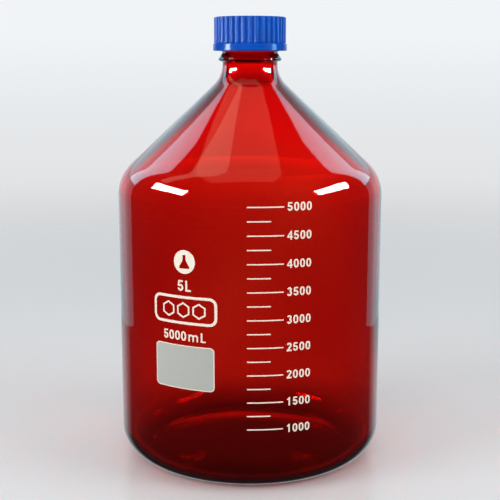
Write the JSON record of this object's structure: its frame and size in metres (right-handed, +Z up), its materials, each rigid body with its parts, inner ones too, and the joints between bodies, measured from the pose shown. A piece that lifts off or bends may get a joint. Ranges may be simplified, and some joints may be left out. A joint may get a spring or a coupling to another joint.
{
  "type": "reagent bottle",
  "caption": "Round amber glass reagent bottle with sloping shoulders, printed volume scale, pouring ring and ribbed screw cap.",
  "frame": {"origin": "on the table, at the middle of the bottle's foot", "axes": "+Z up along the bottle's axis, -Y towards the front between the scale and the label, +X to the right of the scale"},
  "size_m": [0.19, 0.1901, 0.3165],
  "materials": {
    "amber_glass": "clear red-amber stained borosilicate glass",
    "blue_pp": "moulded blue polypropylene, satin",
    "silicone": "matt silicone rubber",
    "ptfe": "white fluoropolymer film",
    "enamel": "fired cream-white enamel print",
    "field_enamel": "matt grey-white enamel to write on"
  },
  "bodies": {
    "bottle": {"bottle": "amber_glass", "pouring_ring": "blue_pp", "scale_lines": "enamel", "scale_figures": "enamel", "capacity_print": "enamel", "litre_print": "enamel", "emblem_disc": "enamel", "emblem_frame": "enamel", "writing_field": "field_enamel", "field_outline": "enamel"},
    "seal": {"seal_disc": "silicone", "seal_facing": "ptfe"},
    "cap": {"screw_cap": "blue_pp"}
  },
  "joints": [
    {"name": "cap_lift", "type": "slide", "parent": "bottle", "child": "seal", "axis": [0, 0, 1], "range_m": [0, 0.0081]},
    {"name": "cap_turn", "type": "hinge", "parent": "seal", "child": "cap", "pos_m": [0, 0, 0.305], "axis": [0, 0, 1], "range_deg": [0, 720]}
  ],
  "couplings": [
    {"joint": "cap_lift", "follows": "cap_turn", "m_per_rad": 0.00063662}
  ]
}
